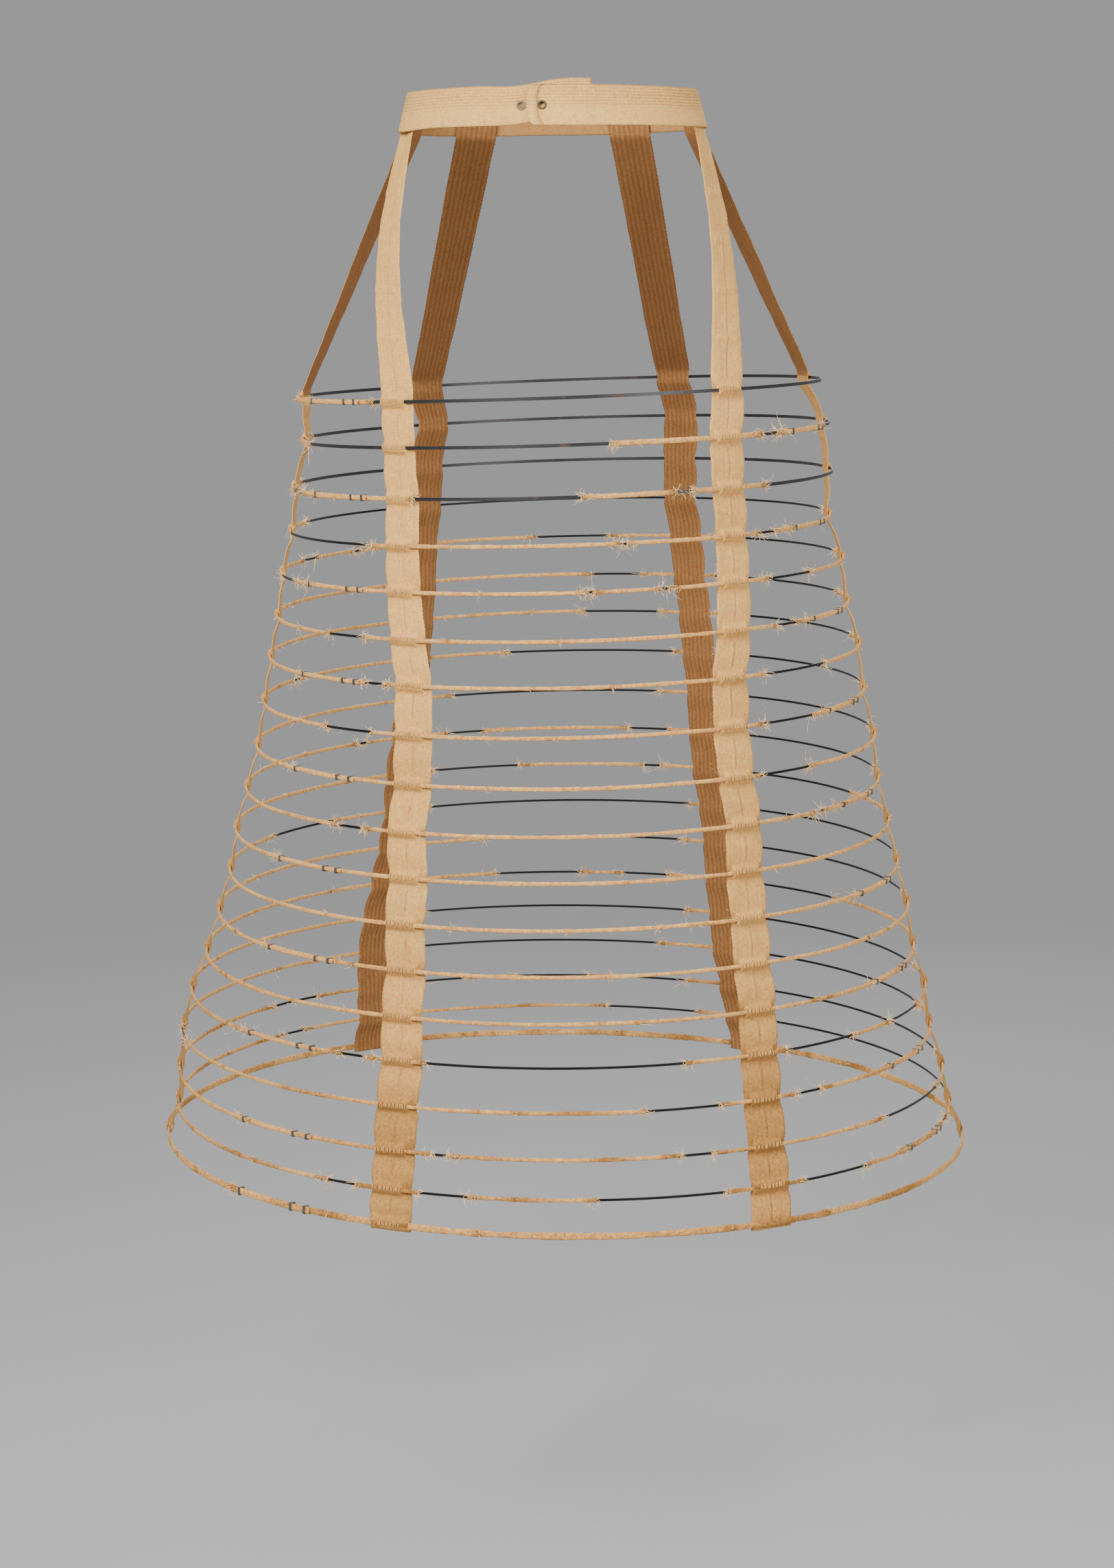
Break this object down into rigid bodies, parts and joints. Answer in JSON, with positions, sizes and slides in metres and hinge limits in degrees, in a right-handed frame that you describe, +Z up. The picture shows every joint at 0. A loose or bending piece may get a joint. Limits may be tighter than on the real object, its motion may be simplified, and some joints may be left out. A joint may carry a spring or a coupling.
{
  "type": "crinoline cage",
  "caption": "Bell-shaped skirt frame of graded spring hoops in worn cotton covers, hung from a lapped waistband on woven tapes.",
  "frame": {"origin": "centre of the waist opening, at the middle of the waistband's height", "axes": "+Z up, +X towards the wearer's left, +Y towards the wearer's back"},
  "size_m": [0.6792, 0.7937, 0.8752],
  "materials": {
    "hip_steel": "satin, a little rusted",
    "skirt_steel": "dull dark grey",
    "hoop_cotton": "matte, worn",
    "tape_cotton": "matte",
    "band_cotton": "matte",
    "eyelet_metal": "tarnished",
    "clip_metal": "dull"
  },
  "bodies": {
    "root": {"hoop_01_steel": "hip_steel", "hoop_01_cover": "hoop_cotton", "hoop_02_steel": "hip_steel", "hoop_02_cover": "hoop_cotton", "hoop_03_steel": "hip_steel", "hoop_03_cover": "hoop_cotton", "hoop_04_steel": "skirt_steel", "hoop_04_cover": "hoop_cotton", "hoop_05_steel": "skirt_steel", "hoop_05_cover": "hoop_cotton", "hoop_06_steel": "skirt_steel", "hoop_06_cover": "hoop_cotton", "hoop_07_steel": "skirt_steel", "hoop_07_cover": "hoop_cotton", "hoop_08_steel": "skirt_steel", "hoop_08_cover": "hoop_cotton", "hoop_09_steel": "skirt_steel", "hoop_09_cover": "hoop_cotton", "hoop_10_steel": "skirt_steel", "hoop_10_cover": "hoop_cotton", "hoop_11_steel": "skirt_steel", "hoop_11_cover": "hoop_cotton", "hoop_12_steel": "skirt_steel", "hoop_12_cover": "hoop_cotton", "hoop_13_steel": "skirt_steel", "hoop_13_cover": "hoop_cotton", "hoop_14_steel": "skirt_steel", "hoop_14_cover": "hoop_cotton", "hoop_15_steel": "skirt_steel", "hoop_15_cover": "hoop_cotton", "hoop_16_steel": "skirt_steel", "hoop_16_cover": "hoop_cotton", "hoop_17_steel": "skirt_steel", "hoop_17_cover": "hoop_cotton", "hoop_18_steel": "skirt_steel", "hoop_18_cover": "hoop_cotton", "hoop_19_steel": "skirt_steel", "hoop_19_cover": "hoop_cotton", "front_right_tape": "tape_cotton", "front_left_tape": "tape_cotton", "side_right_tape": "tape_cotton", "side_left_tape": "tape_cotton", "back_right_tape": "tape_cotton", "back_left_tape": "tape_cotton", "waistband": "band_cotton", "outer_eyelet": "eyelet_metal", "inner_eyelet": "eyelet_metal", "splice_clips_right": "clip_metal", "splice_clips_left": "clip_metal"}
  },
  "joints": []
}
